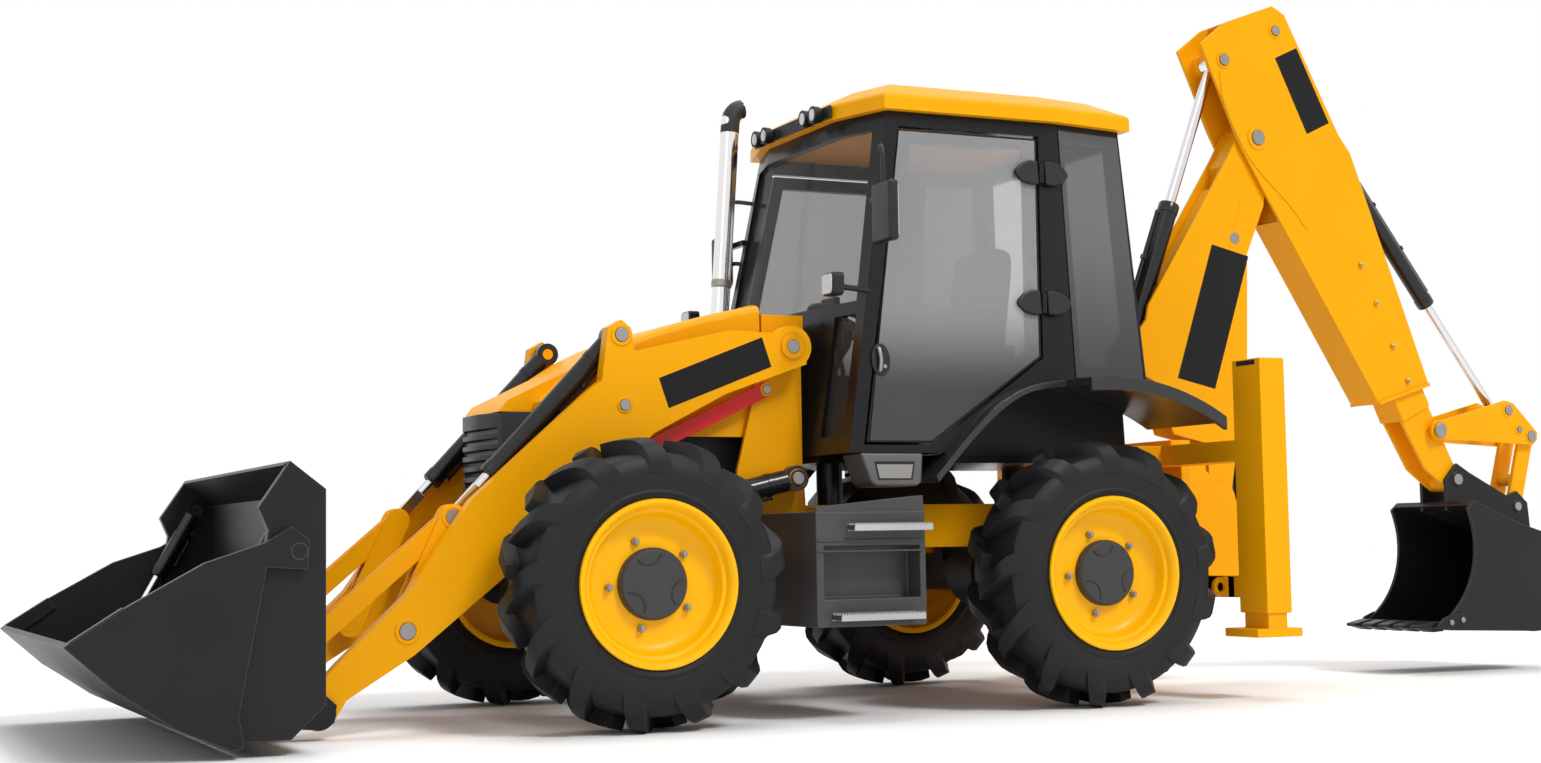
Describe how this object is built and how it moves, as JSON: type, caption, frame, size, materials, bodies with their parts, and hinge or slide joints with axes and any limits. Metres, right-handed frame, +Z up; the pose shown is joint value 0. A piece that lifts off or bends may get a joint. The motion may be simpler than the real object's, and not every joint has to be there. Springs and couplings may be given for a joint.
{
  "type": "backhoe loader",
  "caption": "Backhoe loader with equal steered wheels, glazed cab, two-piece clam shovel in front and a side-shifting, slewing excavator arm with extending dipper at the rear.",
  "frame": {"origin": "on the ground under the middle of the machine's length and width", "axes": "+X forward to the shovel, +Y to the left, +Z up"},
  "size_m": [8.134, 2.35, 3.6],
  "materials": {
    "body_paint": "yellow-orange gloss paint",
    "cab_paint": "black satin paint",
    "dark_paint": "charcoal satin paint, worn at the edges",
    "axle_paint": "dark grey painted castings",
    "dark_plastic": "grained dark grey plastic",
    "cab_glass": "smoked glass",
    "tyre_rubber": "matt black rubber",
    "rim_paint": "orange-yellow gloss paint",
    "ram_paint": "black gloss paint",
    "rod_chrome": "hard chrome, polished",
    "exhaust_chrome": "bright chrome",
    "strut_paint": "red paint",
    "seat_cover": "black woven cover",
    "lamp_lens": "clear lenses"
  },
  "bodies": {
    "chassis": {"front_frame": "body_paint", "rear_frame": "body_paint", "axles": "axle_paint", "engine_block": "axle_paint", "nose_grille": "dark_plastic", "side_steps": "dark_plastic", "cab_frame": "cab_paint", "cab_roof": "body_paint", "cab_glass": "cab_glass", "fenders": "dark_plastic", "exhaust_stack": "exhaust_chrome", "mirrors": "dark_plastic", "lamps": "lamp_lens", "operator_seat": "seat_cover", "safety_strut": "strut_paint"},
    "bonnet": {"bonnet": "body_paint"},
    "door_left": {"door_left": "cab_paint", "door_glass_left": "cab_glass"},
    "door_right": {"door_right": "cab_paint", "door_glass_right": "cab_glass"},
    "knuckle_front_left": {"knuckle_front_left": "axle_paint"},
    "wheel_front_left": {"tyre_front_left": "tyre_rubber", "rim_front_left": "rim_paint"},
    "knuckle_front_right": {"knuckle_front_right": "axle_paint"},
    "wheel_front_right": {"tyre_front_right": "tyre_rubber", "rim_front_right": "rim_paint"},
    "knuckle_rear_left": {"knuckle_rear_left": "axle_paint"},
    "wheel_rear_left": {"tyre_rear_left": "tyre_rubber", "rim_rear_left": "rim_paint"},
    "knuckle_rear_right": {"knuckle_rear_right": "axle_paint"},
    "wheel_rear_right": {"tyre_rear_right": "tyre_rubber", "rim_rear_right": "rim_paint"},
    "loader_arms": {"loader_arms": "body_paint"},
    "lift_barrels": {"lift_barrels": "ram_paint"},
    "lift_rods": {"lift_rods": "rod_chrome"},
    "tilt_barrels": {"tilt_barrels": "ram_paint"},
    "tilt_rods": {"tilt_rods": "rod_chrome"},
    "tipping_levers": {"tipping_levers": "body_paint"},
    "tipping_links": {"tipping_links": "body_paint"},
    "shovel_blade": {"shovel_blade": "dark_paint"},
    "shovel_clam": {"shovel_clam": "dark_paint"},
    "clam_barrels": {"clam_barrels": "ram_paint"},
    "clam_rods": {"clam_rods": "rod_chrome"},
    "carriage": {"carriage": "body_paint"},
    "kingpost": {"kingpost": "body_paint"},
    "boom": {"boom": "body_paint"},
    "boom_ram_barrel": {"boom_ram_barrel": "ram_paint"},
    "boom_ram_rod": {"boom_ram_rod": "rod_chrome"},
    "dipper": {"dipper": "body_paint"},
    "dipper_ram_barrel": {"dipper_ram_barrel": "ram_paint"},
    "dipper_ram_rod": {"dipper_ram_rod": "rod_chrome"},
    "inner_dipper": {"inner_dipper": "body_paint"},
    "bucket_ram_barrel": {"bucket_ram_barrel": "ram_paint"},
    "bucket_ram_rod": {"bucket_ram_rod": "rod_chrome"},
    "bucket_lever": {"bucket_lever": "body_paint"},
    "bucket_link": {"bucket_link": "body_paint"},
    "digging_bucket": {"digging_bucket": "dark_paint"},
    "stabiliser_leg_left": {"stabiliser_leg_left": "body_paint"},
    "stabiliser_leg_right": {"stabiliser_leg_right": "body_paint"}
  },
  "joints": [
    {"name": "loader_lift", "type": "hinge", "parent": "chassis", "child": "loader_arms", "pos_m": [0.88, 0, 1.638], "axis": [0, -1, 0], "range_deg": [-2, 77]},
    {"name": "lift_ram_swing", "type": "hinge", "parent": "chassis", "child": "lift_barrels", "pos_m": [0.855, 0, 1.048], "axis": [0, -1, 0], "range_deg": [-3.29, 69.72]},
    {"name": "lift_ram_stroke", "type": "slide", "parent": "lift_barrels", "child": "lift_rods", "axis": [0.9759, 0, -0.2184], "range_m": [-0.03509, 0.72835]},
    {"name": "shovel_tilt", "type": "hinge", "parent": "loader_arms", "child": "shovel_blade", "pos_m": [3.015, 0, 0.11], "axis": [0, 1, 0], "range_deg": [-8, 125]},
    {"name": "tipping_lever_swing", "type": "hinge", "parent": "loader_arms", "child": "tipping_levers", "pos_m": [2.65, 0, 0.424], "axis": [0, 1, 0], "range_deg": [-7.44, 87.84]},
    {"name": "tipping_link_swing", "type": "hinge", "parent": "tipping_levers", "child": "tipping_links", "pos_m": [2.43, 0, 0.89], "axis": [0, 1, 0], "range_deg": [-49.81, 4.26]},
    {"name": "tilt_ram_swing", "type": "hinge", "parent": "loader_arms", "child": "tilt_barrels", "pos_m": [1.7, 0, 1.669], "axis": [0, -1, 0], "range_deg": [-1.42, 15.72]},
    {"name": "tilt_ram_stroke", "type": "slide", "parent": "tilt_barrels", "child": "tilt_rods", "axis": [0.6838, 0, -0.7297], "range_m": [-0.05258, 0.60776]},
    {"name": "clam_open", "type": "hinge", "parent": "shovel_blade", "child": "shovel_clam", "pos_m": [3.229, 0, 0.758], "axis": [0, -1, 0], "range_deg": [0, 75]},
    {"name": "clam_ram_swing", "type": "hinge", "parent": "shovel_blade", "child": "clam_barrels", "pos_m": [3.22, 0, 0.96], "axis": [0, -1, 0], "range_deg": [-1.27, 59.11]},
    {"name": "clam_ram_stroke", "type": "slide", "parent": "clam_barrels", "child": "clam_rods", "axis": [0.4856, 0, -0.8742], "range_m": [-0.20061, 0.00589]},
    {"name": "bonnet_hinge", "type": "hinge", "parent": "chassis", "child": "bonnet", "pos_m": [0.938, 0, 1.838], "axis": [0, -1, 0], "range_deg": [0, 55]},
    {"name": "door_left_hinge", "type": "hinge", "parent": "chassis", "child": "door_left", "pos_m": [-0.29, 0.81507, 1.59171], "axis": [-0.0637, -0.0946, 0.9935], "range_deg": [0, 80]},
    {"name": "door_right_hinge", "type": "hinge", "parent": "chassis", "child": "door_right", "pos_m": [-0.29, -0.81507, 1.59171], "axis": [0.0637, -0.0946, -0.9935], "range_deg": [0, 80]},
    {"name": "front_steer", "type": "hinge", "parent": "chassis", "child": "knuckle_front_left", "pos_m": [1.76, 0.745, 0.602], "axis": [0, 0, 1], "range_deg": [-20, 20]},
    {"name": "wheel_front_left_spin", "type": "hinge", "parent": "knuckle_front_left", "child": "wheel_front_left", "pos_m": [1.76, 0.93, 0.602], "axis": [0, 1, 0], "continuous": true},
    {"name": "front_steer_right", "type": "hinge", "parent": "chassis", "child": "knuckle_front_right", "pos_m": [1.76, -0.745, 0.602], "axis": [0, 0, 1], "range_deg": [-20.91, 20.91]},
    {"name": "wheel_front_right_spin", "type": "hinge", "parent": "knuckle_front_right", "child": "wheel_front_right", "pos_m": [1.76, -0.93, 0.602], "axis": [0, 1, 0], "continuous": true},
    {"name": "rear_steer", "type": "hinge", "parent": "chassis", "child": "knuckle_rear_left", "pos_m": [-0.44, 0.745, 0.602], "axis": [0, 0, 1], "range_deg": [-20, 20]},
    {"name": "wheel_rear_left_spin", "type": "hinge", "parent": "knuckle_rear_left", "child": "wheel_rear_left", "pos_m": [-0.44, 0.93, 0.602], "axis": [0, 1, 0], "continuous": true},
    {"name": "rear_steer_right", "type": "hinge", "parent": "chassis", "child": "knuckle_rear_right", "pos_m": [-0.44, -0.745, 0.602], "axis": [0, 0, 1], "range_deg": [-20.91, 20.91]},
    {"name": "wheel_rear_right_spin", "type": "hinge", "parent": "knuckle_rear_right", "child": "wheel_rear_right", "pos_m": [-0.44, -0.93, 0.602], "axis": [0, 1, 0], "continuous": true},
    {"name": "side_shift", "type": "slide", "parent": "chassis", "child": "carriage", "axis": [0, 1, 0], "range_m": [-0.55, 0.55]},
    {"name": "slew", "type": "hinge", "parent": "carriage", "child": "kingpost", "pos_m": [-1.6, 0, 0.95], "axis": [0, 0, -1], "range_deg": [-90, 90]},
    {"name": "boom_swing", "type": "hinge", "parent": "kingpost", "child": "boom", "pos_m": [-1.8, 0, 0.95], "axis": [0, -1, 0], "range_deg": [-8, 115]},
    {"name": "boom_ram_swing", "type": "hinge", "parent": "kingpost", "child": "boom_ram_barrel", "pos_m": [-2.04, 0, 0.62], "axis": [0, -1, 0], "range_deg": [-10.03, 111.46]},
    {"name": "boom_ram_stroke", "type": "slide", "parent": "boom_ram_barrel", "child": "boom_ram_rod", "axis": [0.0468, 0, 0.9989], "range_m": [-0.70176, 0.06431]},
    {"name": "dipper_swing", "type": "hinge", "parent": "boom", "child": "dipper", "pos_m": [-2.114, 0, 2.873], "axis": [0, 1, 0], "range_deg": [-8, 95]},
    {"name": "dipper_ram_swing", "type": "hinge", "parent": "boom", "child": "dipper_ram_barrel", "pos_m": [-1.3, 0, 1.7], "axis": [0, -1, 0], "range_deg": [-1.9, 0.3]},
    {"name": "dipper_ram_stroke", "type": "slide", "parent": "dipper_ram_barrel", "child": "dipper_ram_rod", "axis": [-0.3592, 0, 0.9333], "range_m": [-0.68735, 0.07303]},
    {"name": "dipper_extend", "type": "slide", "parent": "dipper", "child": "inner_dipper", "axis": [-0.4305, 0, -0.9026], "range_m": [0, 1.1]},
    {"name": "bucket_curl", "type": "hinge", "parent": "inner_dipper", "child": "digging_bucket", "pos_m": [-3.414, 0, 1.051], "axis": [0, 1, 0], "range_deg": [-35, 100]},
    {"name": "bucket_lever_swing", "type": "hinge", "parent": "inner_dipper", "child": "bucket_lever", "pos_m": [-3.284, 0, 1.321], "axis": [0, 1, 0], "range_deg": [-27.9, 75.81]},
    {"name": "bucket_link_swing", "type": "hinge", "parent": "bucket_lever", "child": "bucket_link", "pos_m": [-3.958, 0, 1.293], "axis": [0, 1, 0], "range_deg": [-54.82, 20.2]},
    {"name": "bucket_ram_swing", "type": "hinge", "parent": "inner_dipper", "child": "bucket_ram_barrel", "pos_m": [-2.765, 0, 2.763], "axis": [0, -1, 0], "range_deg": [-0.6256, 0.3022]},
    {"name": "bucket_ram_stroke", "type": "slide", "parent": "bucket_ram_barrel", "child": "bucket_ram_rod", "axis": [-0.6134, 0, -0.7898], "range_m": [-0.61888, 0.22845]},
    {"name": "leg_left_drop", "type": "slide", "parent": "chassis", "child": "stabiliser_leg_left", "axis": [0, 0, -1], "range_m": [0, 0.55]},
    {"name": "leg_right_drop", "type": "slide", "parent": "chassis", "child": "stabiliser_leg_right", "axis": [0, 0, -1], "range_m": [0, 0.55]}
  ],
  "couplings": [
    {"joint": "lift_ram_swing", "follows": "loader_lift", "ratio": 0.88585},
    {"joint": "lift_ram_stroke", "follows": "loader_lift", "m_per_rad": 0.52961},
    {"joint": "tipping_lever_swing", "follows": "shovel_tilt", "ratio": 0.68716},
    {"joint": "tipping_link_swing", "follows": "shovel_tilt", "ratio": -0.38927},
    {"joint": "tilt_ram_swing", "follows": "shovel_tilt", "ratio": 0.12225},
    {"joint": "tilt_ram_stroke", "follows": "shovel_tilt", "m_per_rad": 0.27187},
    {"joint": "clam_ram_swing", "follows": "clam_open", "ratio": 0.77118},
    {"joint": "clam_ram_stroke", "follows": "clam_open", "m_per_rad": -0.14875},
    {"joint": "front_steer_right", "follows": "front_steer", "ratio": 1},
    {"joint": "rear_steer_right", "follows": "rear_steer", "ratio": 1},
    {"joint": "boom_ram_swing", "follows": "boom_swing", "ratio": 0.94793},
    {"joint": "boom_ram_stroke", "follows": "boom_swing", "m_per_rad": -0.34134},
    {"joint": "dipper_ram_swing", "follows": "dipper_swing", "ratio": -0.018376},
    {"joint": "dipper_ram_stroke", "follows": "dipper_swing", "m_per_rad": -0.40457},
    {"joint": "bucket_lever_swing", "follows": "bucket_curl", "ratio": 0.73706},
    {"joint": "bucket_link_swing", "follows": "bucket_curl", "ratio": -0.53266},
    {"joint": "bucket_ram_swing", "follows": "bucket_curl", "ratio": -0.004976},
    {"joint": "bucket_ram_stroke", "follows": "bucket_curl", "m_per_rad": -0.34416}
  ]
}
